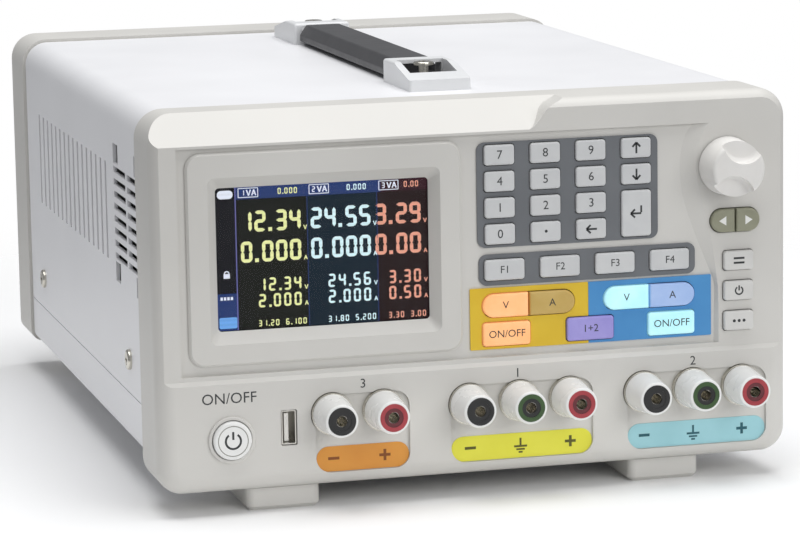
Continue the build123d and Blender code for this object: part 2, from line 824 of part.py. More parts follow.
def fan_housing():
    z = z_tray + fan_lift
    y_front = y_panel - fan_depth
    centre = Pos(fan_offset, z)
    body = prism(centre * (RectangleRounded(fan_size, fan_size, fan_corner) - Circle(fan_bore_radius)),
                 y_front, y_panel)
    struts = Rectangle(2 * fan_bore_radius + 1, fan_strut_width)
    struts += Rectangle(fan_strut_width, 2 * fan_bore_radius + 1)
    struts += Circle(fan_hub_radius - 1)
    body += prism(centre * struts, y_panel - fan_strut_depth, y_panel)
    body += rod(fan_offset, z, fan_pin_radius, y_panel - fan_strut_depth - fan_hub_length + 4, y_panel)
    return body - [rod(x, zs, screw_radius + screw_hole_clearance, y_front - 1, y_panel + 1)
                   for x, zs in fan_screws()]


def fan_rotor():
    z = z_tray + fan_lift
    y_hub_back = y_panel - fan_strut_depth - fit_gap
    y_hub = y_hub_back - fan_hub_length
    rotor = rod(fan_offset, z, fan_hub_radius, y_hub, y_hub_back)
    span = fan_blade_radius - fan_hub_radius + fan_blade_root
    chord = fan_hub_length / cos(radians(fan_blade_pitch)) * fan_blade_fill
    for n in range(fan_blade_count):
        blade = Pos(fan_hub_radius - fan_blade_root + span / 2, 0, 0) * Rot(fan_blade_pitch, 0, 0)
        blade = blade * Box(span, chord, fan_blade_thickness)
        angle = 360 / fan_blade_count * n
        rotor += Pos(fan_offset, (y_hub + y_hub_back) / 2, z) * Rot(0, angle, 0) * blade
    hub_hole = rod(fan_offset, z, fan_pin_radius + shaft_clearance, y_hub + 2, y_hub_back + 1)
    return rotor - hub_hole


def power_transformer():
    x, y = transformer_place
    z0 = z_tray + cover_wall
    width, depth, height = transformer_core
    core = Pos(x, y, z0 + transformer_foot + height / 2) * Box(width, depth, height)
    coil_width, coil_depth, coil_height = transformer_coil
    coil = Pos(x, y, z0 + transformer_foot + height / 2) * Box(coil_width, coil_depth, coil_height)
    coil = fillet(coil.edges().filter_by(Axis.Z), 8)
    foot = Pos(x, y, z0 + transformer_foot / 2) * Box(width + 16, depth - 10, transformer_foot)
    return core + coil + foot


def heat_sink():
    x, y = sink_place
    width, length, height = sink_size
    z0 = z_tray + cover_wall
    sink = Pos(x, y, z0 + sink_base / 2) * Box(width, length, sink_base)
    pitch = (width - sink_fin_thickness) / (sink_fins - 1)
    for n in range(sink_fins):
        fin_x = x - width / 2 + sink_fin_thickness / 2 + n * pitch
        sink += Pos(fin_x, y, z0 + height / 2) * Box(sink_fin_thickness, length, height)
    return sink


def control_board():
    """Board behind the keys, with the knob's encoder and the data port soldered to it."""
    x0 = panel_x(board_margin)
    y1 = y_board + board_thickness
    board = block(x0, -x0, y_board, y1, z_plate + case_clearance, z_plate_top - brow_wall - case_clearance)
    port_x, port_z = port_centre
    x_port = panel_x(port_x)
    board += block(panel_x(power_centre[0]) - board_tab_margin, x_port + board_tab_margin, y_board, y1,
                   port_z - board_tab_margin, z_plate + board_tab_margin)
    board += rod(panel_x(x_knob), z_knob, encoder_radius, y_wall_back + 1, y_board)
    board += rod(panel_x(x_knob), z_knob, shaft_radius, -knob_gap - shaft_seat_depth + 1, y_board)
    width, height = port_opening
    shell = plate(port_x, port_z, width + 2 * port_wall, height + 2 * port_wall, 0.5, port_setback, y_board)
    shell -= plate(port_x, port_z, width, height, 0.3, port_setback - 1, y_board - 1)
    tongue_x = x_port - width / 2 + port_tongue
    shell += block(tongue_x - port_tongue / 2, tongue_x + port_tongue / 2, port_setback + 1, y_board,
                   port_z - height / 2 + 0.8, port_z + height / 2 - 0.8)
    return board + shell


def power_board():
    """Main board on the tray's standoffs, with its reservoir capacitors and relays."""
    width, length = main_board
    y0 = bezel_depth + lip_length + main_board_setback
    z0 = z_tray + cover_wall + standoff_height
    board = block(-width / 2, width / 2, y0, y0 + length, z0, z0 + board_thickness)
    z_top = z0 + board_thickness
    for n in range(can_count):
        x = (n - (can_count - 1) / 2) * can_pitch + can_shift
        can = Pos(x, y0 + can_inset, z_top + can_height / 2) * Cylinder(can_radius, can_height)
        board += fillet(can.faces().sort_by(Axis.Z)[-1].edges(), can_edge)
    for n in range(relay_count):
        board += Pos(relay_start + n * relay_pitch, y0 + relay_inset, z_top + relay_size[2] / 2) * Box(*relay_size)
    return board


def circuit_boards():
    return Compound(list(control_board().solids()) + list(power_board().solids()))


def binding_post_studs():
    """Metal posts through the panel, each with a 4 mm socket, a collar and a nut."""
    solids = []
    y_tip = stud_recess - cap_reach
    for _, panel_distance in terminal_places():
        x = panel_x(panel_distance)
        post = rod(x, terminal_height, stud_radius, y_tip, y_wall_back + stud_tail)
        post += rod(x, terminal_height, collar_radius, -collar_height, pocket_depth)
        post += prism(Pos(x, terminal_height) * RegularPolygon(nut_radius, 6), y_wall_back,
                      y_wall_back + nut_thickness)
        post -= rod(x, terminal_height, socket_radius, y_tip - 1, y_tip + socket_depth)
        solids += list(post.solids())
    return Compound(solids)


def post_cap(panel_distance):
    """Insulated cap that screws along its post and is open at its end."""
    x = panel_x(panel_distance)
    length = cap_reach - collar_height - cap_clearance
    cap = Pos(x, -cap_reach + length / 2, terminal_height) * Rot(90, 0, 0) * Cone(
        cap_base_radius, cap_tip_radius, length)
    cap = fillet(cap.faces().sort_by(Axis.Y)[0].edges(), cap_edge)
    return cap - rod(x, terminal_height, stud_radius + cap_clearance, -cap_reach - 1, 1)


def make_knob():
    """Round knob with two crescent scoops that leave a slanted grip bar."""
    x = panel_x(x_knob)
    y_base = upper_setback - knob_gap
    length = knob_reach
    knob = Pos(x, y_base - length / 2, z_knob) * Rot(90, 0, 0) * Cone(knob_radius, knob_tip_radius, length)
    knob = fillet(knob.faces().sort_by(Axis.Y)[0].edges(), knob_edge)
    y_face = y_base - length
    for side in (-1, 1):
        angle = radians(90 + scoop_angle)
        scoop = rod(x + side * scoop_offset * cos(angle), z_knob + side * scoop_offset * sin(angle),
                    scoop_radius, y_face - 1, y_face + scoop_depth)
        knob -= fillet(scoop.faces().sort_by(Axis.Y)[-1].edges(), scoop_depth / 2)
    y_seat = upper_setback - knob_gap - shaft_seat_depth
    return knob - rod(x, z_knob, shaft_radius + shaft_clearance, y_seat - fit_gap, y_base + 1)


def power_button():
    x, z = panel_x(power_centre[0]), power_centre[1]
    y_face = -power_ring_proud - power_button_proud
    button = rod(x, z, power_button_radius, y_face, y_wall_back + board_gap)
    button = fillet(button.faces().sort_by(Axis.Y)[0].edges(), power_button_edge)
    y_skirt = y_wall_back + board_gap
    button += rod(x, z, power_button_radius + power_skirt, y_skirt, y_skirt + key_skirt_thickness)
    return button + rod(x, z, plunger_radius, y_wall_back, y_board - power_travel - board_gap)


def handle_screws():
    """Depths of the two screws, one through each end cap."""
    inner = handle_cap[1] - tongue_slot[1] / 2 - tongue_slot_end
    return [y_handle + inner, y_handle + handle_length - inner]


def handle_end_cap():
    """Front end cap; the rear one is its mirror image."""
    width, length = handle_cap
    height = handle_cap_height
    y0 = y_handle
    z0 = z_cover_top
    profile = [(y0, z0), (y0 + length, z0), (y0 + length, z0 + height),
               (y0 + handle_cap_ramp, z0 + height), (y0, z0 + handle_cap_lip)]
    cap = side_prism(profile, -width / 2, width / 2)
    cap = fillet(cap.edges().filter_by(Axis.Z) + cap.faces().sort_by(Axis.Z)[-1].edges(), handle_cap_edge)
    half = tongue_width / 2 + 2 * fit_gap
    z_floor = z0 + handle_floor
    y_cavity = y0 + length - tongue_length - tongue_room
    cap -= block(-half, half, y_cavity, y0 + length + 1, z_floor, z0 + height - handle_cap_wall)
    half = window_size[0] / 2
    y_window = y0 + window_setback
    cap -= block(-half, half, y_window, y_window + window_size[1], z_floor, z0 + height + 1)
    hole = Pos(0, handle_screws()[0], z0) * Cylinder(screw_radius + screw_hole_clearance, 2 * handle_floor + 1)
    return cap - hole


def handle_end_caps():
    front = handle_end_cap()
    middle = Plane.XZ.offset(-(y_handle + handle_length / 2))
    return Compound(list(front.solids()) + list(mirror(front, middle).solids()))


def handle_strap():
    """Rubber grip with a flat steel tongue at each end, slotted for the screws."""
    z0 = z_cover_top
    y0 = y_handle + handle_cap[1] + grip_gap
    y1 = y_handle + handle_length - handle_cap[1] - grip_gap
    z_low = z0 + handle_floor + fit_gap
    z_side = z_low + grip_side_height
    z_ridge = z0 + grip_height
    section = make_face(Polyline((-grip_width / 2, z_low), (grip_width / 2, z_low), (grip_width / 2, z_side),
                                 (grip_ridge / 2, z_ridge), (-grip_ridge / 2, z_ridge),
                                 (-grip_width / 2, z_side), close=True))
    grip = prism(section, y0, y1)
    grip = fillet(grip.edges().filter_by(Axis.Y), grip_edge)
    reach = tongue_length + grip_gap
    tongue = block(-tongue_width / 2, tongue_width / 2, y0 - reach, y1 + reach,
                   z_low, z_low + tongue_thickness)
    slots = [Pos(0, y, z_low) * Box(tongue_slot[0], tongue_slot[1], 3 * tongue_thickness)
             for y in handle_screws()]
    return grip + (tongue - slots)


def foot(x, y):
    """Moulded foot, long from front to back."""
    base = Pos(x, y, foot_height / 2) * Box(foot_width, foot_length, foot_height)
    base = fillet(base.edges().filter_by(Axis.Z), foot_corner)
    return chamfer(base.faces().sort_by(Axis.Z)[0].edges(), foot_edge)


def feet():
    y_front = foot_setback + foot_length / 2
    y_back = y_rear - foot_setback - foot_length / 2
    places = [(sx * foot_spread / 2, y) for sx in (-1, 1) for y in (y_front, y_back)]
    solids = []
    for x, y in places:
        solids += list((foot(x, y) - foot_relief()).solids())
    return Compound(solids)


def foot_relief():
    """Room for the bezel's and the rear frame's lower walls over the feet."""
    front = prism(bezel_outline(-fit_gap), -1, bezel_depth + fit_gap)
    back = prism(frame_outline(-fit_gap), y_frame - fit_gap, y_rear + 1)
    return front + back


def screw(length, head_height=screw_head_height):
    """A pan-head screw with its head's seat at the origin and its shank along -Z."""
    head = Pos(0, 0, head_height / 2) * Cylinder(screw_head_radius, head_height)
    head = fillet(head.faces().sort_by(Axis.Z)[-1].edges(), head_height * 0.6)
    slot = Pos(0, 0, head_height) * (Box(4.2, 0.9, 1.4) + Box(0.9, 4.2, 1.4))
    return head - slot + Pos(0, 0, -length / 2) * Cylinder(screw_radius, length)


def screws():
    items = []
    for y, z in side_screws():
        for side in (-1, 1):
            items.append(Pos(side * cover_width / 2, y, z) * Rot(0, 90 * side, 0) * screw(screw_length))
    for x, z in panel_screws() + fan_screws():
        items.append(Pos(x, y_panel_back, z) * Rot(-90, 0, 0) * screw(screw_length))
    z_seat = z_cover_top + handle_cap_height - handle_cap_wall
    for y in handle_screws():
        items.append(Pos(0, y, z_seat) * screw(z_seat - z_cover_top + screw_length / 2, 1.3))
    return Compound([solid for item in items for solid in item.solids()])


save("front_bezel", front_bezel())
save("keypad_overlay", keypad_overlay())
save("display_window", display_window())
save("display_module", display_module())
save("top_cover", top_cover())
save("base_tray", base_tray())
save("rear_frame", rear_frame())
save("rear_panel", rear_panel())
save("mains_inlet", mains_inlet())
save("fan_housing", fan_housing())
save("fan_rotor", fan_rotor())
save("power_transformer", power_transformer())
save("heat_sink", heat_sink())
save("circuit_boards", circuit_boards())
save("binding_post_studs", binding_post_studs())
save("handle_end_caps", handle_end_caps())
save("handle_strap", handle_strap())
save("feet", feet())
save("screws", screws())
save("knob", make_knob())
save("power_button", power_button())
for name, *place in recessed_keys:
    save(name, make_key(*place, plate_recess))
for name, *place in raised_keys:
    save(name, make_key(*place, upper_setback))
for (left_name, right_name), *place in pill_places():
    save(left_name, make_pill_half(*place, -1))
    save(right_name, make_pill_half(*place, 1))
for name, x_post in terminal_places():
    save(name, post_cap(x_post))
print(len(written), "sub-parts")
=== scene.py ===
import math

import bmesh
import bpy
from mathutils import Matrix, Vector


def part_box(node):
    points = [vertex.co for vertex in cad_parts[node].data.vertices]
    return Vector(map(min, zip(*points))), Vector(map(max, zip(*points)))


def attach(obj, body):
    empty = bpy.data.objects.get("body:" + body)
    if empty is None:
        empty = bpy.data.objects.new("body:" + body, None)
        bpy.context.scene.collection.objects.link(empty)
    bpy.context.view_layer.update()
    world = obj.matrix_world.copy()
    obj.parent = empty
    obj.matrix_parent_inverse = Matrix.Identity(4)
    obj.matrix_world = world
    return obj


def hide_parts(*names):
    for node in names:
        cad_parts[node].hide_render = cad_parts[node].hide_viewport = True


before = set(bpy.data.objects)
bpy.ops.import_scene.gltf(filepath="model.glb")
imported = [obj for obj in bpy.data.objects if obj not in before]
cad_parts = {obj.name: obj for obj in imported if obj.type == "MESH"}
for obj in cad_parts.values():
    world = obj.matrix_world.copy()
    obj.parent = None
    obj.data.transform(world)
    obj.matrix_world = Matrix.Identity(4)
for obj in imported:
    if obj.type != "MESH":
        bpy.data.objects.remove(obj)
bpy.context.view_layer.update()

# Triple-output bench power supply, in metres. +Z is up and the front panel faces -Y.
# Places on the front panel are given in millimetres: x from the bezel's left side, z from the
# surface that the feet stand on, and depth from the front of the terminal zone.

MM = 0.001
CASE = "case"

# The bezel's box starts at the power ring, which stands 1 mm proud of the terminal zone.
RING_PROUD = 1.0
bezel_low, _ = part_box("front_bezel")
LEFT = bezel_low[0]
FRONT = bezel_low[1] + RING_PROUD * MM


def panel(x, z, depth=0.0):
    """A point from its place on the front panel, in millimetres."""
    return Vector((LEFT + x * MM, FRONT + depth * MM, z * MM))


def centre_of(node):
    """Panel place of the middle of a node's front, with its front depth."""
    low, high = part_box(node)
    x = ((low[0] + high[0]) / 2 - LEFT) / MM
    z = (low[2] + high[2]) / 2 / MM
    return x, z, (low[1] - FRONT) / MM


# Colours


def linear(code):
    """Turn an sRGB hex colour into linear RGBA."""
    values = [int(code[i:i + 2], 16) / 255 for i in (0, 2, 4)]
    values = [v / 12.92 if v <= 0.04045 else ((v + 0.055) / 1.055) ** 2.4 for v in values]
    return (*values, 1.0)


# Materials


def add(tree, kind, inputs=None, **fields):
    """Add a shader node with its settings; an input that is a socket is linked."""
    node = tree.nodes.new("ShaderNode" + kind)
    for name, value in fields.items():
        setattr(node, name, value)
    for name, value in (inputs or {}).items():
        if isinstance(value, bpy.types.NodeSocket):
            tree.links.new(value, node.inputs[name])
        else:
            node.inputs[name].default_value = value
    return node


def new_tree(name):
    """An empty node material and its tree."""
    material = bpy.data.materials.new(name)
    material.use_nodes = True
    material.node_tree.nodes.clear()
    return material, material.node_tree


# The part of a noise's range that holds most of its pattern
CLOUD_ENDS = (0.3, 0.7)


def surface(name, shades, mottle, grain, bump, roughness, **shader):
    """A finish with two close shades, uneven gloss and a fine relief.

    mottle and grain are pattern sizes in millimetres, bump is the relief's height in millimetres,
    and roughness is its lowest and highest value.
    """
    material, tree = new_tree(name)
    place = add(tree, "TexCoord").outputs["Object"]
    cloud = add(tree, "TexNoise", {"Vector": place, "Scale": 1 / (mottle * MM), "Detail": 3.0,
                                   "Roughness": 0.55})
    tint = add(tree, "ValToRGB", {"Fac": cloud.outputs["Fac"]})
    for stop, position, shade in zip(tint.color_ramp.elements, CLOUD_ENDS, shades):
        stop.position = position
        stop.color = linear(shade)
    fine = add(tree, "TexNoise", {"Vector": place, "Scale": 1 / (grain * MM), "Detail": 2.0,
                                  "Roughness": 0.6})
    gloss = add(tree, "MapRange", {"Value": cloud.outputs["Fac"], "From Min": CLOUD_ENDS[0],
                                   "From Max": CLOUD_ENDS[1], "To Min": roughness[0],
                                   "To Max": roughness[1]})
    relief = add(tree, "Bump", {"Height": fine.outputs["Fac"], "Distance": bump * MM})
    inputs = {"Base Color": tint.outputs["Color"], "Roughness": gloss.outputs["Result"],
              "Normal": relief.outputs["Normal"]}
    inputs.update({key.replace("_", " "): value for key, value in shader.items()})
    finish = add(tree, "BsdfPrincipled", inputs)
    add(tree, "OutputMaterial", {"Surface": finish.outputs["BSDF"]})
    return material


# Grains finer than about 0.3 mm don't show in the render. Those of moulded, printed and rubber
# surfaces are 0.05 to 0.2 mm on the real ones, and are drawn coarser so that they show.

# Spark-textured ABS: a warm light grey, matt, with a fine even grain from the mould.
abs_grey = surface("spark_textured_abs", ("CBC9C4", "D2D0CB"), 60, 0.9, 0.012, (0.42, 0.5), IOR=1.53)
# Powder-coated sheet steel: off-white, with the slight orange peel of a baked coat.
powder_white = surface("powder_coated_steel", ("E7E7E9", "ECECEE"), 90, 1.4, 0.03, (0.36, 0.44), IOR=1.5)
# The same coat on the rear panel, a shade darker.
powder_grey = surface("powder_coated_rear", ("CFCFCD", "D5D5D3"), 70, 1.4, 0.03, (0.4, 0.48), IOR=1.5)
# Moulded silicone rubber keys: soft, even and faintly dusty.
silicone_grey = surface("silicone_grey", ("C6C7C8", "CDCECE"), 8, 0.5, 0.01, (0.5, 0.6), IOR=1.41)
silicone_light = surface("silicone_light", ("CFCECB", "D6D5D2"), 8, 0.5, 0.01, (0.5, 0.6), IOR=1.41)
silicone_violet = surface("silicone_violet", ("9A92D6", "A79FDE"), 9, 0.5, 0.01, (0.45, 0.55), IOR=1.41)
silicone_khaki = surface("silicone_khaki", ("C3A45C", "CFB26E"), 9, 0.5, 0.01, (0.45, 0.55), IOR=1.41)
silicone_blue = surface("silicone_blue", ("A3C0F0", "B4CCF6"), 9, 0.5, 0.01, (0.45, 0.55), IOR=1.41)
# The arrow keys' olive grey is partly their own darker grey and partly painted shade: the knob's shadow
# over them is painted into their colour.
silicone_grey_painted_knob_shadow = surface("silicone_grey_with_painted_knob_shadow", ("8C8C78", "989884"), 9, 0.5, 0.01, (0.45, 0.55), IOR=1.41)
# Backlit silicone: lamps behind the keys lift the pale ones to a glow.
lit_peach = surface("backlit_silicone_peach", ("FFB678", "FFC892"), 12, 0.5, 0.01, (0.45, 0.55), IOR=1.41,
                    Emission_Color=linear("FFB070"), Emission_Strength=0.22)
lit_cyan = surface("backlit_silicone_cyan", ("B4F2FC", "CCFAFF"), 12, 0.5, 0.01, (0.45, 0.55), IOR=1.41,
                   Emission_Color=linear("B8F4FF"), Emission_Strength=0.18)
# Screen-printed polycarbonate film: flat colour with a light matt grain.
film_grey = surface("printed_film_grey", ("626569", "6A6D71"), 25, 0.4, 0.006, (0.4, 0.5), IOR=1.58)
film_yellow = surface("printed_film_yellow", ("DAB414", "E0BE22"), 25, 0.4, 0.006, (0.4, 0.5), IOR=1.58)
film_blue = surface("printed_film_blue", ("3A86C4", "4692CC"), 25, 0.4, 0.006, (0.4, 0.5), IOR=1.58)
film_orange = surface("printed_film_orange", ("D48A28", "DC9634"), 20, 0.4, 0.006, (0.4, 0.5), IOR=1.58)
film_lemon = surface("printed_film_lemon", ("E0DC30", "E8E444"), 20, 0.4, 0.006, (0.4, 0.5), IOR=1.58)
film_sky = surface("printed_film_sky", ("96CAD2", "A2D4DC"), 20, 0.4, 0.006, (0.4, 0.5), IOR=1.58)
# Screen-printing ink: thin, matt and slightly uneven.
ink_dark = surface("printing_ink_dark", ("2A2C2E", "363839"), 3, 0.3, 0.004, (0.5, 0.6), IOR=1.5)
ink_brown = surface("printing_ink_brown", ("7A3E06", "864A10"), 3, 0.3, 0.004, (0.5, 0.6), IOR=1.5)
ink_olive = surface("printing_ink_olive", ("4E4C0C", "5A5814"), 3, 0.3, 0.004, (0.5, 0.6), IOR=1.5)
ink_teal = surface("printing_ink_teal", ("14505C", "1E5C68"), 3, 0.3, 0.004, (0.5, 0.6), IOR=1.5)
ink_pale = surface("printing_ink_pale", ("E4E4E0", "ECECE8"), 3, 0.3, 0.004, (0.5, 0.6), IOR=1.5)
ink_olive_grey = surface("printing_ink_grey", ("86867E", "92928A"), 3, 0.3, 0.004, (0.5, 0.6), IOR=1.5)
# Moulded nylon: near black and satin, with a little grain.
nylon_black = surface("moulded_nylon_black", ("1A1B1D", "222326"), 20, 0.7, 0.01, (0.38, 0.48), IOR=1.53)
# Polished ABS of the posts' caps, the power button and the knob: white and smoother than the bezel.
abs_white = surface("gloss_abs_white", ("E6E6E4", "ECECEA"), 14, 0.6, 0.004, (0.22, 0.3), IOR=1.53)
abs_knob = surface("satin_abs_knob", ("E2E0DC", "E8E6E3"), 14, 0.6, 0.006, (0.28, 0.36), IOR=1.53)
# Sleeves of the sockets, moulded in coloured nylon: plain deep colours with a satin gloss.
sleeve_black = surface("socket_sleeve_black", ("141414", "1C1C1C"), 6, 0.4, 0.004, (0.3, 0.4), IOR=1.53)
sleeve_green = surface("socket_sleeve_green", ("2E4A22", "38562A"), 6, 0.4, 0.004, (0.3, 0.4), IOR=1.53)
sleeve_red = surface("socket_sleeve_red", ("9A3038", "A83A42"), 6, 0.4, 0.004, (0.3, 0.4), IOR=1.53)
# A darker red, used only round the plus socket's mouth, where it paints the shade in the socket's recess.
red_socket_painted_shade = surface("socket_red_with_painted_shade", ("5A1A22", "66222A"), 6, 0.4, 0.004, (0.3, 0.4), IOR=1.53)
# Rubber over spring steel: dark, with the dull bloom of moulded rubber.
strap_rubber = surface("moulded_rubber", ("39393B", "454547"), 12, 0.8, 0.02, (0.42, 0.55), IOR=1.52)
# Nickel plate: warm, bright and nearly even. Mill-finish aluminium: cooler and duller.
# Varnished steel laminations: brown-black, with the dull gloss of the resin.
nickel = surface("nickel_plate", ("C9C5BA", "D4D0C6"), 5, 0.3, 0.003, (0.2, 0.3), Metallic=1.0)
mill_aluminium = surface("mill_aluminium", ("AEB1B4", "BCBFC2"), 10, 0.5, 0.01, (0.32, 0.45), Metallic=1.0)
varnished_core = surface("varnished_laminations", ("3E3A36", "4C4742"), 9, 0.5, 0.03, (0.4, 0.5),
                         Metallic=0.6)
# Silver-grey ABS of the handle's end caps: pale and cool, a little glossier than the bezel.
abs_silver = surface("silver_grey_abs", ("D6D7D8", "DEDFE0"), 20, 0.8, 0.01, (0.34, 0.42), IOR=1.53)


# Places that tell the boards' parts apart, in panel millimetres
BOARD_DEPTH = 12.6
CAN_FOOT = 27.3
PORT_TONGUE = (48.3, 50.3)
TONGUE_TOP = 60.0
# Pattern sizes and relief of the solder mask, in millimetres
MASK_MOTTLE = 6.0
MASK_GRAIN = 0.5
MASK_RELIEF = 0.01


def board_finish():
    """Boards and what they carry, told apart by place.

    Green solder mask on the boards, nickel plate on the port's shell and the encoder in front of
    them, a white tongue in the port and black cans behind.
    """
    material, tree = new_tree("assembled_circuit_boards")
    place = add(tree, "TexCoord").outputs["Object"]
    axes = add(tree, "SeparateXYZ", {0: place}).outputs
    port_left, port_right = (LEFT + x * MM for x in PORT_TONGUE)

    def test(axis, operation, value):
        return add(tree, "Math", {0: axes[axis], 1: value}, operation=operation).outputs["Value"]

    def both(a, b):
        return add(tree, "Math", {0: a, 1: b}, operation="MULTIPLY").outputs["Value"]

    def blend(share, one, two):
        # A colour mix has its two colours at inputs 6 and 7 and its result at output 2.
        mix = add(tree, "Mix", {0: share, 6: one, 7: two}, data_type="RGBA")
        return mix.outputs[2]

    before = test("Y", "LESS_THAN", FRONT + BOARD_DEPTH * MM)
    behind = both(test("Y", "GREATER_THAN", FRONT + 2 * BOARD_DEPTH * MM),
                  test("Z", "GREATER_THAN", CAN_FOOT * MM))
    in_tongue = both(both(test("X", "GREATER_THAN", port_left), test("X", "LESS_THAN", port_right)),
                     test("Z", "LESS_THAN", TONGUE_TOP * MM))
    cloud = add(tree, "TexNoise", {"Vector": place, "Scale": 1 / (MASK_MOTTLE * MM), "Detail": 3.0})
    mask = add(tree, "ValToRGB", {"Fac": cloud.outputs["Fac"]})
    for stop, shade in zip(mask.color_ramp.elements, ("17502C", "1F5E36")):
        stop.color = linear(shade)
    colour = blend(behind, mask.outputs["Color"], linear("24252A"))
    colour = blend(before, colour, linear("CFCCC4"))
    colour = blend(both(before, in_tongue), colour, linear("E4E2DC"))
    bare = add(tree, "Math", {0: 1.0, 1: in_tongue}, operation="SUBTRACT").outputs["Value"]
    fine = add(tree, "TexNoise", {"Vector": place, "Scale": 1 / (MASK_GRAIN * MM), "Detail": 2.0})
    relief = add(tree, "Bump", {"Height": fine.outputs["Fac"], "Distance": MASK_RELIEF * MM})
    shader = add(tree, "BsdfPrincipled", {"Base Color": colour, "Metallic": both(before, bare),
                                          "Roughness": 0.3, "Normal": relief.outputs["Normal"]})
    add(tree, "OutputMaterial", {"Surface": shader.outputs["BSDF"]})
    return material


DUST_SIZE = 3.0
# Acrylic has an IOR of 1.49. This lower one stands for the coating, which takes most of the
# reflection away.
COATED_IOR = 1.12


def clear_window():
    """Coated acrylic: clear, with weak reflections and very faint dust."""
    material, tree = new_tree("coated_acrylic_window")
    place = add(tree, "TexCoord").outputs["Object"]
    dust = add(tree, "TexNoise", {"Vector": place, "Scale": 1 / (DUST_SIZE * MM), "Detail": 4.0})
    gloss = add(tree, "MapRange", {"Value": dust.outputs["Fac"], "From Min": 0.45, "From Max": 0.75,
                                   "To Min": 0.02, "To Max": 0.06})
    shader = add(tree, "BsdfPrincipled", {"Base Color": linear("FAFCFF"),
                                          "Roughness": gloss.outputs["Result"],
                                          "Transmission Weight": 1.0, "IOR": COATED_IOR})
    add(tree, "OutputMaterial", {"Surface": shader.outputs["BSDF"]})
    return material


# Rows of the display's light, drawn ten times as coarse as the real pixels so that they show.
# At scale 1 Blender's wave turns by 20 radians in one metre.
ROW_PITCH = 1.76
WAVE_TURN = 20


def lit(name, code):
    """A lit part of the display: one colour, broken up by the pixel rows."""
    material, tree = new_tree(name)
    place = add(tree, "TexCoord").outputs["Object"]
    rows = add(tree, "TexWave", {"Vector": place, "Scale": 2 * math.pi / (ROW_PITCH * MM) / WAVE_TURN},
               wave_type="BANDS", bands_direction="Z", wave_profile="SIN")
    level = add(tree, "MapRange", {"Value": rows.outputs["Fac"], "To Min": 0.9, "To Max": 1.0})
    glow = add(tree, "VectorMath", {"Vector": linear(code)[:3], "Scale": level.outputs["Result"]},
               operation="SCALE")
    shader = add(tree, "BsdfPrincipled", {"Base Color": linear("050506"), "Roughness": 0.45,
                                          "Emission Color": glow.outputs["Vector"],
                                          "Emission Strength": 1.0, "Specular IOR Level": 0.15})
    add(tree, "OutputMaterial", {"Surface": shader.outputs["BSDF"]})
    return material


solder_mask = board_finish()
window_acrylic = clear_window()
lit_black = lit("display_black", "0C0B10")
lit_olive = lit("display_olive", "10110A")
lit_petrol = lit("display_petrol", "0A1C28")
lit_maroon = lit("display_maroon", "1E0D0C")
lit_navy = lit("display_navy", "24386C")
lit_plum = lit("display_plum", "34161E")
lit_azure = lit("display_azure", "6FA8E8")
lit_yellow = lit("display_yellow", "EEF0A8")
lit_mint = lit("display_mint", "DDF6F8")
lit_salmon = lit("display_salmon", "EEA68C")
lit_pale = lit("display_pale", "E8ECF6")
lit_line = lit("display_line", "6A6AA8")


# Pieces


def finish_piece(piece, material, body):
    """Give a piece its material and body."""
    piece.data.materials.clear()
    piece.data.materials.append(material)
    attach(piece, body)
    return piece


def mesh_object(name, bm):
    """Turn a bmesh into an object in the scene."""
    mesh = bpy.data.meshes.new(name)
    bmesh.ops.recalc_face_normals(bm, faces=bm.faces)
    bm.to_mesh(mesh)
    bm.free()
    piece = bpy.data.objects.new(name, mesh)
    bpy.context.scene.collection.objects.link(piece)
    return piece


def extrude_outlines(outlines, depth, thickness):
    """Prisms from closed (x, z) outlines, with their front face at a depth."""
    bm = bmesh.new()
    for points in outlines:
        front = [bm.verts.new(panel(x, z, depth)) for x, z in points]
        back = [bm.verts.new(panel(x, z, depth + thickness)) for x, z in points]
        bm.faces.new(front)
        bm.faces.new(list(reversed(back)))
        for n in range(len(points)):
            m = (n + 1) % len(points)
            bm.faces.new((front[n], back[n], back[m], front[m]))
    return bm


def flat_piece(name, outlines, depth, thickness, material, body=CASE):
    """A thin piece that lies on the front panel or on a key."""
    return finish_piece(mesh_object(name, extrude_outlines(outlines, depth, thickness)), material, body)


def rectangle(x0, x1, z0, z1):
    """Closed outline of a rectangle."""
    return [(x0, z0), (x1, z0), (x1, z1), (x0, z1)]


def rounded(x0, x1, z0, z1, radius, steps=6):
    """Closed outline of a rounded rectangle."""
    points = []
    corners = ((x1 - radius, z1 - radius, 0), (x0 + radius, z1 - radius, 90),
               (x0 + radius, z0 + radius, 180), (x1 - radius, z0 + radius, 270))
    for cx, cz, start in corners:
        for n in range(steps + 1):
            angle = math.radians(start + 90 * n / steps)
            points.append((cx + radius * math.cos(angle), cz + radius * math.sin(angle)))
    return points


def bar(x0, z0, x1, z1, width):
    """Outline of a straight stroke."""
    along = Vector((x1 - x0, z1 - z0)).normalized()
    side = Vector((-along.y, along.x)) * width / 2
    return [(x0 + side.x, z0 + side.y), (x0 - side.x, z0 - side.y),
            (x1 - side.x, z1 - side.y), (x1 + side.x, z1 + side.y)]


def arc_strokes(cx, cz, radius, width, start, end, steps):
    """Strokes along an arc, as four-sided outlines."""
    outlines = []
    for n in range(steps):
        a = math.radians(start + (end - start) * n / steps)
        b = math.radians(start + (end - start) * (n + 1) / steps)
        inner, outer = radius - width / 2, radius + width / 2
        outlines.append([(cx + inner * math.cos(a), cz + inner * math.sin(a)),
                         (cx + outer * math.cos(a), cz + outer * math.sin(a)),
                         (cx + outer * math.cos(b), cz + outer * math.sin(b)),
                         (cx + inner * math.cos(b), cz + inner * math.sin(b))])
    return outlines


# Thickness of printing, and the height of a capital in a font of size 1
INK = 0.03
CAPITAL = 0.72


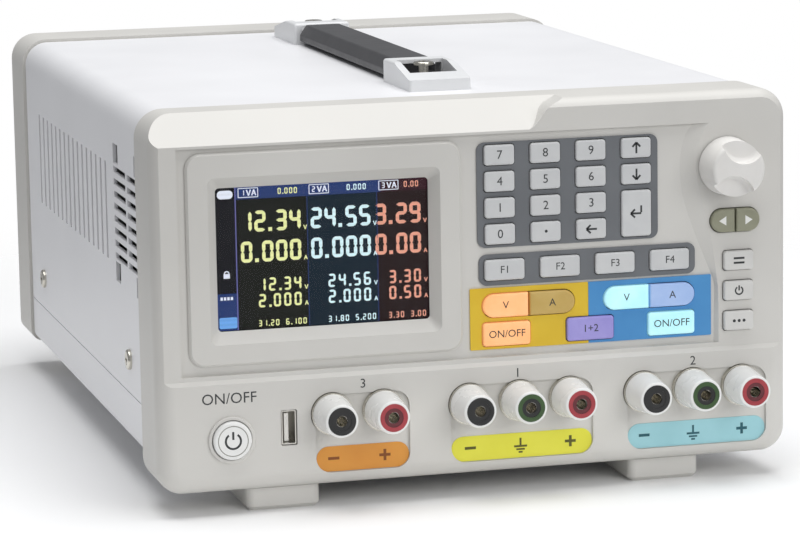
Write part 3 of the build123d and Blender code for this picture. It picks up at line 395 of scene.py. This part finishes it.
def lettering(name, words, x, z, height, depth, material, body=CASE):
    """Plain lettering, centred on a panel place and printed at a depth."""
    curve = bpy.data.curves.new(name, "FONT")
    curve.body = words
    curve.align_x = "CENTER"
    curve.align_y = "CENTER"
    curve.size = height * MM / CAPITAL
    curve.extrude = INK / 2 * MM
    curve.resolution_u = 3
    piece = bpy.data.objects.new(name, curve)
    bpy.context.scene.collection.objects.link(piece)
    upright = Matrix.Rotation(math.pi / 2, 4, "X")
    piece.matrix_world = Matrix.Translation(panel(x, z, depth - INK / 2)) @ upright
    curve.materials.append(material)
    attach(piece, body)
    return piece


# Seven-segment figures of the display, in a cell one unit high. A segment's tip reaches past its
# corners by a share of its half width.
SEGMENT_WIDTH = 0.165
CELL_WIDTH = 0.55
CORNER = 0.9
TIP_REACH = 0.6
POINT_SIZE = 1.1 * SEGMENT_WIDTH
POINT_STEP = 1.9 * POINT_SIZE
SEGMENTS = {"a": ((0, 1), (1, 1)), "b": ((1, 1), (1, 0.5)), "c": ((1, 0.5), (1, 0)), "d": ((0, 0), (1, 0)),
            "e": ((0, 0.5), (0, 0)), "f": ((0, 1), (0, 0.5)), "g": ((0, 0.5), (1, 0.5))}
FIGURES = {"0": "abcdef", "1": "bc", "2": "abged", "3": "abgcd", "4": "fgbc", "5": "afgcd",
           "6": "afgedc", "7": "abc", "8": "abcdefg", "9": "abcdfg"}


def segment_outline(start, end, x, z, height):
    """Six-sided bar of one segment."""
    half = SEGMENT_WIDTH / 2
    wide = CELL_WIDTH - SEGMENT_WIDTH
    tall = 1 - SEGMENT_WIDTH
    a = Vector((start[0] * wide + half, start[1] * tall + half))
    b = Vector((end[0] * wide + half, end[1] * tall + half))
    along = (b - a).normalized()
    side = Vector((-along.y, along.x)) * half
    tip = along * half * CORNER
    points = (a - tip * TIP_REACH, a + tip + side, b - tip + side, b + tip * TIP_REACH, b - tip - side,
              a + tip - side)
    return [(x + p.x * height, z + p.y * height) for p in points]


def sign_step(sign, height, pitch):
    """Width that a sign takes in a row of figures; a point takes about a third of the height."""
    return POINT_STEP * height if sign == "." else pitch


def figures(words, x, z, height, pitch):
    """Outlines of a row of figures, points and blanks, from its left end and foot."""
    outlines = []
    for sign in words:
        if sign == ".":
            outlines.append(rectangle(x, x + POINT_SIZE * height, z, z + POINT_SIZE * height))
        for letter in FIGURES.get(sign, ""):
            outlines.append(segment_outline(*SEGMENTS[letter], x, z, height))
        x += sign_step(sign, height, pitch)
    return outlines


WELD = 1e-6


def loose_parts(node):
    """Copies of a node's separate solids as new meshes, sorted from top to bottom."""
    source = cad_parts[node]
    bm = bmesh.new()
    bm.from_mesh(source.data)
    bmesh.ops.remove_doubles(bm, verts=bm.verts, dist=WELD)
    left = set(bm.verts)
    groups = []
    while left:
        queue = [left.pop()]
        group = set(queue)
        while queue:
            for edge in queue.pop().link_edges:
                for vert in edge.verts:
                    if vert in left:
                        left.remove(vert)
                        group.add(vert)
                        queue.append(vert)
        groups.append(group)
    parts = []
    for group in groups:
        copy = bmesh.new()
        twins = {vert: copy.verts.new(vert.co) for vert in group}
        for face in bm.faces:
            if face.verts[0] in group:
                copy.faces.new([twins[vert] for vert in face.verts])
        centre = sum((vert.co for vert in group), Vector()) / len(group)
        parts.append((centre, copy))
    bm.free()
    return sorted(parts, key=lambda part: (-round(part[0].z / MM), part[0].x))


# Camera: the view fitted to the photograph, in the panel's millimetres and in pixels
IMAGE_WIDTH = 800
FOCAL_PIXELS = 3604.72
CAMERA_AZIMUTH = -14.89
CAMERA_ELEVATION = 9.53
CAMERA_ROLL = -0.99
CAMERA_DISTANCE = 1461.68
CAMERA_TARGET = (120.78, 72.04, 100.0)
SENSOR = 36.0


def make_camera():
    """The camera at the photograph's viewing angle."""
    azimuth, elevation, roll = (math.radians(a) for a in (CAMERA_AZIMUTH, CAMERA_ELEVATION, CAMERA_ROLL))
    back = Vector((math.sin(azimuth) * math.cos(elevation), -math.cos(azimuth) * math.cos(elevation),
                   math.sin(elevation)))
    right = (-back).cross(Vector((0, 0, 1))).normalized()
    up = right.cross(-back)
    turned_right = right * math.cos(roll) + up * math.sin(roll)
    turned_up = up * math.cos(roll) - right * math.sin(roll)
    data = bpy.data.cameras.new("photo_view")
    data.sensor_width = SENSOR
    data.lens = SENSOR * FOCAL_PIXELS / IMAGE_WIDTH
    data.clip_start = 0.05
    data.clip_end = 50
    camera = bpy.data.objects.new("photo_view", data)
    bpy.context.scene.collection.objects.link(camera)
    turn = Matrix((turned_right, turned_up, back)).transposed().to_4x4()
    camera.matrix_world = Matrix.Translation(panel(*CAMERA_TARGET) + back * CAMERA_DISTANCE * MM) @ turn
    bpy.context.scene.camera = camera


# Floor, world and lamps. The floor's reach, the start and end of its fade and the size of its
# fibres are in metres.
FLOOR_REACH = 3.0
FLOOR_FADE = (0.22, 0.62)
PAPER_FIBRE = 1 / 900
WORLD_LIGHT = 0.34


def make_floor():
    """A white floor that keeps the soft shadow and fades into the white surround."""
    bm = bmesh.new()
    bmesh.ops.create_circle(bm, cap_ends=True, radius=FLOOR_REACH, segments=64)
    floor = mesh_object("floor", bm)
    material, tree = new_tree("white_paper_sweep")
    place = add(tree, "TexCoord").outputs["Object"]
    reach = add(tree, "VectorMath", {0: place}, operation="LENGTH")
    fade = add(tree, "MapRange", {"Value": reach.outputs["Value"], "From Min": FLOOR_FADE[0],
                                  "From Max": FLOOR_FADE[1]}, interpolation_type="SMOOTHSTEP")
    fibre = add(tree, "TexNoise", {"Vector": place, "Scale": 1 / PAPER_FIBRE, "Detail": 2.0})
    relief = add(tree, "Bump", {"Height": fibre.outputs["Fac"], "Distance": 0.02 * MM})
    paper = add(tree, "BsdfPrincipled", {"Base Color": linear("FAFAFA"), "Roughness": 0.9,
                                         "Normal": relief.outputs["Normal"], "Specular IOR Level": 0.1})
    clear = add(tree, "BsdfTransparent")
    mix = add(tree, "MixShader", {0: fade.outputs["Result"], 1: paper.outputs["BSDF"],
                                  2: clear.outputs["BSDF"]})
    add(tree, "OutputMaterial", {"Surface": mix.outputs["Shader"]})
    floor.data.materials.append(material)


def make_world():
    """White to the camera and through the window, a weaker grey as light and in reflections."""
    world = bpy.data.worlds.new("white_studio")
    world.use_nodes = True
    tree = world.node_tree
    tree.nodes.clear()
    path = add(tree, "LightPath")
    seen = add(tree, "Math", {0: path.outputs["Is Camera Ray"], 1: path.outputs["Is Transmission Ray"]},
               operation="MAXIMUM")
    ambient = add(tree, "Background", {"Color": linear("F4F6FA"), "Strength": WORLD_LIGHT})
    white = add(tree, "Background", {"Color": (1, 1, 1, 1), "Strength": 1.0})
    mix = add(tree, "MixShader", {0: seen.outputs["Value"], 1: ambient.outputs["Background"],
                                  2: white.outputs["Background"]})
    add(tree, "OutputWorld", {"Surface": mix.outputs["Shader"]})
    bpy.context.scene.world = world


# Soft boxes: name, place and aim, width and height in metres, power in watts
SOFT_BOXES = (("overhead_box", (0.02, -0.1, 1.5), (0.0, 0.0, 0.1), (1.5, 1.3), 22.0),
              ("front_box", (0.8, -1.7, 0.8), (0.0, -0.1, 0.08), (1.2, 1.0), 12.0))


def make_lamps():
    """The soft boxes, each turned to its aim."""
    for name, place, aim, size, power in SOFT_BOXES:
        data = bpy.data.lights.new(name, "AREA")
        data.shape = "RECTANGLE"
        data.size, data.size_y = size
        data.energy = power
        lamp = bpy.data.objects.new(name, data)
        bpy.context.scene.collection.objects.link(lamp)
        turn = (Vector(aim) - Vector(place)).to_track_quat("-Z", "Y").to_matrix().to_4x4()
        lamp.matrix_world = Matrix.Translation(place) @ turn


make_camera()
make_floor()
make_world()
make_lamps()
bpy.context.scene.view_settings.view_transform = "Standard"

# Materials of the CAD nodes
NODE_FINISH = {
    "front_bezel": abs_grey, "top_cover": powder_white, "base_tray": powder_white, "rear_frame": abs_grey,
    "rear_panel": powder_grey, "mains_inlet": nylon_black, "fan_housing": nylon_black,
    "fan_rotor": nylon_black, "power_transformer": varnished_core, "heat_sink": mill_aluminium,
    "circuit_boards": solder_mask, "binding_post_studs": nickel, "handle_end_caps": abs_silver,
    "handle_strap": strap_rubber, "feet": abs_grey, "screws": nickel, "knob": abs_knob,
    "power_button": abs_white, "more_key": silicone_violet, "display_window": window_acrylic,
    "display_module": lit_black, "channel_1_volts_key": lit_peach, "channel_1_amps_key": silicone_khaki,
    "channel_1_output_key": lit_peach, "channel_2_volts_key": lit_cyan, "channel_2_amps_key": silicone_blue,
    "channel_2_output_key": lit_cyan,
}


def finish_of(node):
    """The material of a CAD node, by its name or its kind."""
    if node in NODE_FINISH:
        return NODE_FINISH[node]
    if node.startswith("post_cap"):
        return abs_white
    # The arrow keys take the darker grey that carries the knob's painted shadow.
    if node.startswith("arrow"):
        return silicone_grey_painted_knob_shadow
    if node.startswith("side_key"):
        return silicone_light
    return silicone_grey


for node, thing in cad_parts.items():
    if node == "keypad_overlay":
        continue
    if not thing.material_slots:
        thing.data.materials.append(finish_of(node))
    for slot in thing.material_slots:
        slot.material = finish_of(node)

# Printed plates round the keys, one piece for each zone, in the shape of the CAD plates
ZONES = (("digit_plate", film_grey), ("menu_plate", film_grey), ("channel_1_plate", film_yellow),
         ("channel_2_plate", film_blue))
for (name, film), (_, bm) in zip(ZONES, loose_parts("keypad_overlay")):
    plate = finish_piece(mesh_object(name, bm), film, CASE)
    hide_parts("keypad_overlay")

# Display picture. Its places are in millimetres from the screen's lower left corner.
WINDOW_LAP = 2.0
window_low, window_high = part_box("display_window")
SCREEN_X = (window_low[0] - LEFT) / MM + WINDOW_LAP
SCREEN_Z = window_low[2] / MM + WINDOW_LAP
SCREEN_WIDTH = (window_high[0] - window_low[0]) / MM - 2 * WINDOW_LAP
SCREEN_HEIGHT = (window_high[2] - window_low[2]) / MM - 2 * WINDOW_LAP
SCREEN_DEPTH = (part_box("display_module")[0][1] - FRONT) / MM
# Fields and the signs on them stand off the module's face by these lifts.
FIELD_LIFT = 0.06
PRINT_LIFT = 0.12
FIELD_THICKNESS = 0.03


def moved(outlines, x, z):
    """The same outlines, shifted on the panel."""
    return [[(x + u, z + v) for u, v in points] for points in outlines]


def screen_field(name, outlines, glow, lift=FIELD_LIFT):
    """A lit field or sign of the display, from outlines in screen places."""
    return flat_piece(name, moved(outlines, SCREEN_X, SCREEN_Z), SCREEN_DEPTH - lift, FIELD_THICKNESS, glow,
                      CASE)


SIDEBAR = 8.2
COLUMNS = ((SIDEBAR, 35.4), (35.4, 62.4), (62.4, SCREEN_WIDTH))
COLUMN_FIELDS = (lit_olive, lit_petrol, lit_maroon)
COLUMN_INKS = (lit_yellow, lit_mint, lit_salmon)
STATUS_EDGE = SCREEN_HEIGHT - 4.8
PLUM_EDGE = COLUMNS[1][1] + 1.5
for n, ((x0, x1), field) in enumerate(zip(COLUMNS, COLUMN_FIELDS)):
    screen_field(f"column_{n + 1}_field", [rectangle(x0, x1, 0, STATUS_EDGE)], field)
for name, outline, glow in (
        ("status_bar", rectangle(SIDEBAR, PLUM_EDGE, STATUS_EDGE, SCREEN_HEIGHT), lit_navy),
        ("status_plum", rectangle(PLUM_EDGE, SCREEN_WIDTH, STATUS_EDGE, SCREEN_HEIGHT), lit_plum),
        ("sidebar_low", rectangle(0, SIDEBAR, 0, 14), lit_navy)):
    screen_field(name, [outline], glow)

# Sidebar signs: a button at the foot, a pill at the top, a lock and a short line of small text
LOCK_X = 4.0
LOCK_Z = 21.6
lock = [rectangle(LOCK_X - 1.2, LOCK_X + 1.2, LOCK_Z - 1.8, LOCK_Z)]
lock += arc_strokes(LOCK_X, LOCK_Z, 0.9, 0.4, 0, 180, 6)
pill = rounded(1.0, SIDEBAR - 1.2, SCREEN_HEIGHT - 4.4, SCREEN_HEIGHT - 1.2, 1.5)
small_text = [rectangle(1.4 + 1.3 * n, 2.3 + 1.3 * n, 11.6, 12.8) for n in range(4)]
for name, outlines, glow in (
        ("sidebar_button", [rounded(0.8, SIDEBAR - 0.6, 0.8, 5.0, 0.6)], lit_azure),
        ("sidebar_line", [rectangle(SIDEBAR - 0.5, SIDEBAR - 0.1, 0, SCREEN_HEIGHT)], lit_line),
        ("column_lines", [rectangle(x - 0.15, x + 0.15, 0, STATUS_EDGE) for x, _ in COLUMNS[1:]], lit_navy),
        ("sidebar_pill", [pill], lit_pale),
        ("sidebar_lock", lock, lit_pale),
        ("sidebar_text", small_text, lit_pale)):
    screen_field(name, outlines, glow, PRINT_LIFT)


def unit_mark(x, z, height, kind):
    """A small V or A after a reading, drawn with strokes."""
    wide = height * 0.7
    stroke = height * 0.22
    low, high = (z, z + height) if kind == "V" else (z + height, z)
    strokes = [bar(x, high, x + wide / 2, low, stroke), bar(x + wide / 2, low, x + wide, high, stroke)]
    if kind == "A":
        rung = z + height * 0.36
        strokes.append(bar(x + wide * 0.25, rung, x + wide * 0.75, rung, stroke * 0.8))
    return strokes


# Status row: a boxed label and small figures for each column, with the figures' shift from its side.
# The box is given by its shifts from the column's side and from the figures' foot.
STATUS_FOOT = STATUS_EDGE + 1.3
STATUS = (("0.000", 16.0), ("0.000", 15.4), ("0.00", 10.6))
LABEL_SIDES = (0.9, 8.4)
LABEL_ENDS = (-0.6, 2.8)
LABEL_LINE = 0.3
LABEL_HEIGHT = 2.2
STATUS_HEIGHT = 2.3
STATUS_PITCH = 1.8
for n, ((x0, _), ink, (words, shift)) in enumerate(zip(COLUMNS, COLUMN_INKS, STATUS)):
    left, right = (x0 + side for side in LABEL_SIDES)
    low, high = (STATUS_FOOT + end for end in LABEL_ENDS)
    label = [bar(left, low, right, low, LABEL_LINE), bar(left, high, right, high, LABEL_LINE),
             bar(left, low, left, high, LABEL_LINE), bar(right, low, right, high, LABEL_LINE)]
    label += figures(str(n + 1), left + 1.1, STATUS_FOOT, LABEL_HEIGHT, STATUS_PITCH)
    label += unit_mark(left + 3.2, STATUS_FOOT, LABEL_HEIGHT, "V")
    label += unit_mark(left + 5.2, STATUS_FOOT, LABEL_HEIGHT, "A")
    screen_field(f"status_label_{n + 1}", label, lit_pale, PRINT_LIFT)
    reading = figures(words, x0 + shift, STATUS_FOOT, STATUS_HEIGHT, STATUS_PITCH)
    screen_field(f"status_figures_{n + 1}", reading, ink, PRINT_LIFT)

# Rows of readings: text for each column, foot, figure height, pitch and the margin at their right
ROWS = (("volts", ("12.34", "24.55", "3.29"), 36.9, 8.0, 5.35, 1.6),
        ("amps", ("0.000", "0.000", "0.00"), 25.4, 8.0, 5.35, 1.6),
        ("set_volts", ("12.34", "24.56", "3.30"), 14.2, 5.1, 4.0, 1.6),
        ("set_amps", ("2.000", "2.000", "0.50"), 8.1, 5.1, 4.0, 1.6),
        ("limits", ("31.20 6.100", "31.80 5.200", "3.30 3.00"), 0.9, 2.4, 1.95, 0.4))
UNIT_HEIGHT = 1.6
UNIT_GAP = 0.15
for name, texts, foot, height, pitch, margin in ROWS:
    for n, ((_, x1), ink, text) in enumerate(zip(COLUMNS, COLUMN_INKS, texts)):
        end = x1 - margin
        start = end - sum(sign_step(sign, height, pitch) for sign in text)
        outlines = figures(text, start, foot, height, pitch)
        if name != "limits":
            outlines += unit_mark(end + UNIT_GAP, foot, UNIT_HEIGHT, "V" if "volts" in name else "A")
        screen_field(f"{name}_{n + 1}", outlines, ink, PRINT_LIFT)

# Legends on the keys
DIGIT_HEIGHT = 3.4
WORD_HEIGHT = 2.9
KEY_SIGNS = {"key_point": "•", "channel_1_volts_key": "V", "channel_1_amps_key": "A",
             "channel_2_volts_key": "V", "channel_2_amps_key": "A", "channel_1_output_key": "ON/OFF",
             "channel_2_output_key": "ON/OFF", "more_key": "1+2"}
KEY_SIGNS.update({f"key_{n}": str(n) for n in range(10)})
KEY_SIGNS.update({f"menu_key_{n}": f"F{n}" for n in range(1, 5)})
for node, words in KEY_SIGNS.items():
    x, z, depth = centre_of(node)
    height = DIGIT_HEIGHT if node.startswith("key_") else WORD_HEIGHT
    lettering("sign_" + node, words, x, z, height, depth, ink_dark, node)

ARROW_REACH = 2.1
ARROW_STROKE = 0.75


def arrow_strokes(turn):
    """An arrow drawn with three strokes about its middle; turn 0 points up and 90 points left."""
    angle = math.radians(turn)
    up = Vector((-math.sin(angle), math.cos(angle)))
    side = Vector((math.cos(angle), math.sin(angle)))
    tip = up * ARROW_REACH
    strokes = [bar(-tip.x, -tip.y, tip.x, tip.y, ARROW_STROKE)]
    for way in (-1, 1):
        barb = tip - up * ARROW_REACH * 0.8 + side * way * ARROW_REACH * 0.75
        strokes.append(bar(barb.x, barb.y, tip.x, tip.y, ARROW_STROKE))
    return strokes


def wedge(way):
    """A solid triangle that points left or right."""
    return [[(way * 1.7, 0), (-way * 1.2, 1.8), (-way * 1.2, -1.8)]]


# Marks drawn on the keys, about each key's middle. The enter key's arrow starts from a short bar, and
# the side keys have a pair of bars, a dial and a row of dots.
KEY_MARKS = {
    "key_up": (arrow_strokes(0), ink_dark),
    "key_down": (arrow_strokes(180), ink_dark),
    "key_clear": (arrow_strokes(90), ink_dark),
    "key_enter": (moved(arrow_strokes(90), -0.3, 0) + [bar(1.8, 0.3, 1.8, 3.0, ARROW_STROKE)], ink_dark),
    "arrow_left_key": (wedge(-1), ink_pale),
    "arrow_right_key": (wedge(1), ink_pale),
    "side_key_1": ([rectangle(-2.2, 2.2, 0.5, 1.3), rectangle(-2.2, 2.2, -1.3, -0.5)], ink_dark),
    "side_key_2": (arc_strokes(0, 0, 1.5, 0.6, 120, 420, 14) + [bar(0, 0, 0, 2.0, 0.6)], ink_dark),
    "side_key_3": ([rounded(x - 0.6, x + 0.6, -0.6, 0.6, 0.55) for x in (-2.0, 0.0, 2.0)], ink_dark),
}
for node, (outlines, ink) in KEY_MARKS.items():
    x, z, depth = centre_of(node)
    flat_piece("marks_" + node, moved(outlines, x, z), depth - INK, INK, ink, node)

# Colour bands, signs and numbers of the binding posts: name, the pocket's margins left and right of the
# outer posts, colour and ink, marks, number and the number's shift from the band's middle
GROUPS = (("channel_3", (6.4, 10.4), film_orange, ink_brown, ("minus", "plus"), "3", 0.3),
          ("channel_1", (7.2, 9.6), film_lemon, ink_olive, ("minus", "ground", "plus"), "1", -1.7),
          ("channel_2", (6.4, 10.4), film_sky, ink_teal, ("minus", "ground", "plus"), "2", -1.7))
BAND_FOOT = 14.4
BAND_HEIGHT = 9.7
BAND_RADIUS = 4.6
BAND_THICKNESS = 0.2
BAND_INSET = 0.3
POCKET_DEPTH = 1.2
SIGN_PLACE = BAND_FOOT + BAND_HEIGHT / 2 + 0.2
SIGN_SHIFT = 0.6
NUMBER_PLACE = 47.6
NUMBER_HEIGHT = 3.6


def minus_sign(x, z):
    return [bar(x - 2.2, z, x + 2.2, z, 1.1)]


def plus_sign(x, z):
    return minus_sign(x, z) + [bar(x, z + 0.55, x, z + 2.2, 1.1), bar(x, z - 2.2, x, z - 0.55, 1.1)]


def ground_sign(x, z):
    return [bar(x, z + 2.6, x, z - 0.2, 0.8), bar(x - 2.6, z - 0.6, x + 2.6, z - 0.6, 0.8),
            bar(x - 1.7, z - 1.8, x + 1.7, z - 1.8, 0.7), bar(x - 0.8, z - 2.9, x + 0.8, z - 2.9, 0.7)]


def ring_piece(name, x, z, radii, depth, thickness, material, body):
    """A flat ring of square section."""
    steps = 48
    bm = bmesh.new()
    loops = []
    for radius, level in ((radii[0], depth), (radii[1], depth), (radii[1], depth + thickness),
                          (radii[0], depth + thickness)):
        loops.append([bm.verts.new(panel(x + radius * math.cos(2 * math.pi * n / steps),
                                         z + radius * math.sin(2 * math.pi * n / steps), level))
                      for n in range(steps)])
    for k in range(4):
        one, two = loops[k], loops[(k + 1) % 4]
        for n in range(steps):
            m = (n + 1) % steps
            bm.faces.new((one[n], one[m], two[m], two[n]))
    return finish_piece(mesh_object(name, bm), material, body)


SIGNS = {"minus": minus_sign, "ground": ground_sign, "plus": plus_sign}
SLEEVES = {"minus": sleeve_black, "ground": sleeve_green, "plus": sleeve_red}
# Painted shade: darker colours for the stud's face round each socket's mouth, standing in for the shade in
# the recess.
SOCKET_PAINTED_SHADES = {"minus": sleeve_black, "ground": sleeve_black, "plus": red_socket_painted_shade}
# Coloured ring on each cap's end, and inside it a darker disc round the socket's mouth that paints the
# shade on the stud's face in the socket's recess:
# radii, shift from the cap's end, thickness and colours
RINGS = (("end_ring", (3.7, 5.35), -0.12, 0.3, SLEEVES), ("socket_painted_shade", (2.15, 3.75), 0.08, 0.2, SOCKET_PAINTED_SHADES))
for name, (left, right), film, ink, marks, number, number_shift in GROUPS:
    caps = [f"post_cap_{name}_{mark}" for mark in marks]
    x0 = centre_of(caps[0])[0] - left + BAND_INSET
    x1 = centre_of(caps[-1])[0] + right - BAND_INSET
    flat_piece(name + "_band", [rounded(x0, x1, BAND_FOOT, BAND_FOOT + BAND_HEIGHT, BAND_RADIUS)],
               POCKET_DEPTH - BAND_THICKNESS, BAND_THICKNESS, film, CASE)
    outlines = []
    for mark, cap in zip(marks, caps):
        x, z, tip = centre_of(cap)
        outlines += SIGNS[mark](x + SIGN_SHIFT, SIGN_PLACE)
        for kind, radii, shift, thickness, colours in RINGS:
            ring_piece(f"{kind}_{name}_{mark}", x, z, radii, tip + shift, thickness, colours[mark], cap)
    flat_piece(name + "_signs", outlines, POCKET_DEPTH - BAND_THICKNESS - INK, INK, ink)
    middle = (x0 + x1) / 2
    lettering(name + "_number", number, middle + number_shift, NUMBER_PLACE, NUMBER_HEIGHT, 0.0, ink_dark)

# Power button: its word above, a line round the button and the standby sign
POWER_WORD_SHIFT = -0.6
POWER_WORD_PLACE = 45.3
POWER_WORD_HEIGHT = 4.2
x, z, depth = centre_of("power_button")
lettering("power_word", "ON/OFF", x + POWER_WORD_SHIFT, POWER_WORD_PLACE, POWER_WORD_HEIGHT, 0.0, ink_dark)
standby = arc_strokes(x, z, 2.9, 0.8, 125, 415, 24) + [bar(x, z + 0.6, x, z + 3.6, 0.8)]
for name, outlines, ink in (("power_line", arc_strokes(x, z, 5.7, 0.35, 0, 360, 48), ink_olive_grey),
                            ("power_sign", standby, ink_dark)):
    flat_piece(name, outlines, depth - INK, INK, ink, "power_button")
